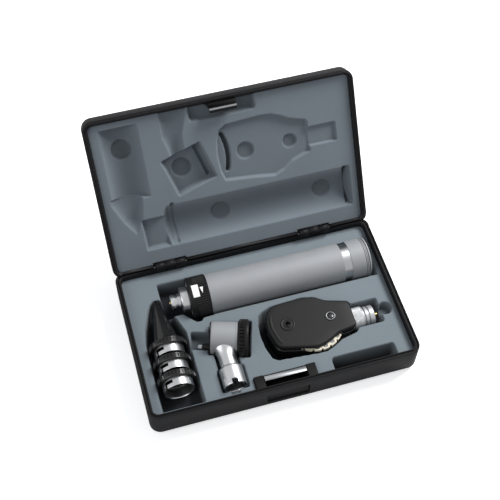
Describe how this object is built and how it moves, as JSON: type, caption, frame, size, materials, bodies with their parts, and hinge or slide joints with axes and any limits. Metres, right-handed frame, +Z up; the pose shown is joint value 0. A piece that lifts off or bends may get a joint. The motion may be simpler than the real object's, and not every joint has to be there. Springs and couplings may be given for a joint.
{
  "type": "otoscope carry case",
  "caption": "Hinged hard case with a fitted tray holding a battery handle, an otoscope head, an ophthalmoscope head and nested ear specula.",
  "frame": {"origin": "centre of the flat underside of the base", "axes": "+X along the long side, to the right seen from the latch; +Y from the latch to the hinge; +Z up, out of the open base"},
  "size_m": [0.198, 0.1913, 0.1286],
  "materials": {
    "case_plastic": "lightly grained",
    "flocked_sheet": "thin sheet with a short grey-blue flock",
    "latch_plastic": "matte",
    "steel": "bright rolled strip",
    "satin_metal": "satin",
    "chrome": "polished",
    "instrument_plastic": "satin black",
    "soft_rubber": "matte",
    "brass": "polished",
    "cell_jacket": "plain printed jacket without marks",
    "white_mark": "white inlay",
    "wheel_cream": "moulded",
    "clear_glass": "clear",
    "mirror": "front-silvered"
  },
  "bodies": {
    "base": {"base_shell": "case_plastic", "base_tray": "flocked_sheet", "latch_frame": "latch_plastic", "hinge_pins": "steel"},
    "latch": {"latch_push_plate": "case_plastic", "latch_bar": "latch_plastic", "strike_strip": "steel", "latch_springs": "steel"},
    "lid": {"lid_shell": "case_plastic", "lid_tray": "flocked_sheet", "keeper_block": "latch_plastic", "keeper_plate": "steel"},
    "handle": {"handle_tube": "satin_metal", "handle_neck": "chrome", "neck_insulator": "instrument_plastic", "neck_contact": "brass", "battery_front": "cell_jacket", "battery_rear": "cell_jacket", "battery_spring": "steel"},
    "rheostat": {"rheostat_ring": "instrument_plastic", "rheostat_marks": "white_mark"},
    "cap_carrier": {"cap_contact": "brass"},
    "cap": {"handle_cap": "satin_metal"},
    "speculum_back": {"speculum_cone_back": "instrument_plastic", "speculum_collar_back": "chrome"},
    "speculum_middle": {"speculum_cone_middle": "instrument_plastic", "speculum_collar_middle": "chrome"},
    "speculum_front": {"speculum_cone_front": "instrument_plastic", "speculum_collar_front": "chrome"},
    "otoscope": {"otoscope_barrel": "satin_metal", "otoscope_socket": "chrome", "lamp_stem": "instrument_plastic", "otoscope_lamp": "clear_glass"},
    "magnifier": {"magnifier_ring": "instrument_plastic", "magnifier_lens": "clear_glass"},
    "viewer": {"viewer_body": "instrument_plastic", "viewer_cover": "instrument_plastic", "viewing_ring": "instrument_plastic", "brow_rest": "soft_rubber", "viewer_collar": "chrome", "viewer_contact": "brass", "viewer_mirror": "mirror", "viewer_lamp": "clear_glass", "wheel_axle": "steel"},
    "wheel": {"lens_wheel": "wheel_cream", "wheel_lenses": "clear_glass"},
    "selector": {"aperture_dial": "satin_metal"}
  },
  "joints": [
    {"name": "lid_hinge", "type": "hinge", "parent": "base", "child": "lid", "pos_m": [0, 0.0583, 0.0271], "axis": [-1, 0, 0], "range_deg": [-122, 0]},
    {"name": "latch_slide", "type": "slide", "parent": "base", "child": "latch", "axis": [0, 1, 0], "range_m": [0, 0.0012], "stiffness_N_per_m": 800, "springref_m": -0.001},
    {"name": "handle_lift", "type": "slide", "parent": "base", "child": "handle", "axis": [0, 0, 1], "range_m": [0, 0.045]},
    {"name": "rheostat_turn", "type": "hinge", "parent": "handle", "child": "rheostat", "pos_m": [-0.0498, 0.0286, 0.0209], "axis": [1, 0, 0], "range_deg": [0, 120]},
    {"name": "cap_travel", "type": "slide", "parent": "handle", "child": "cap_carrier", "axis": [1, 0, 0], "range_m": [0, 0.0025]},
    {"name": "cap_turn", "type": "hinge", "parent": "cap_carrier", "child": "cap", "pos_m": [0.0842, 0.0286, 0.0209], "axis": [1, 0, 0], "range_deg": [0, 720]},
    {"name": "specula_lift", "type": "slide", "parent": "base", "child": "speculum_back", "axis": [0, 0, 1], "range_m": [0, 0.045]},
    {"name": "middle_pull", "type": "slide", "parent": "speculum_back", "child": "speculum_middle", "axis": [0, -1, 0], "range_m": [0, 0.006]},
    {"name": "front_pull", "type": "slide", "parent": "speculum_middle", "child": "speculum_front", "axis": [0, -1, 0], "range_m": [0, 0.006]},
    {"name": "otoscope_lift", "type": "slide", "parent": "base", "child": "otoscope", "axis": [0, 0, 1], "range_m": [0, 0.045]},
    {"name": "magnifier_turn", "type": "hinge", "parent": "otoscope", "child": "magnifier", "pos_m": [-0.0423, -0.007, 0.0202], "axis": [0.9563, -0.2924, 0], "range_deg": [0, 60]},
    {"name": "viewer_lift", "type": "slide", "parent": "base", "child": "viewer", "axis": [0, 0, 1], "range_m": [0, 0.045]},
    {"name": "wheel_spin", "type": "hinge", "parent": "viewer", "child": "wheel", "pos_m": [0.032, -0.017, 0.0207], "axis": [0, 0, 1], "continuous": true},
    {"name": "dial_turn", "type": "hinge", "parent": "viewer", "child": "selector", "pos_m": [0.045, -0.0156, 0.024], "axis": [0, 0, 1], "range_deg": [0, 180]}
  ],
  "couplings": [
    {"joint": "cap_travel", "follows": "cap_turn", "m_per_rad": 0.00019894}
  ]
}
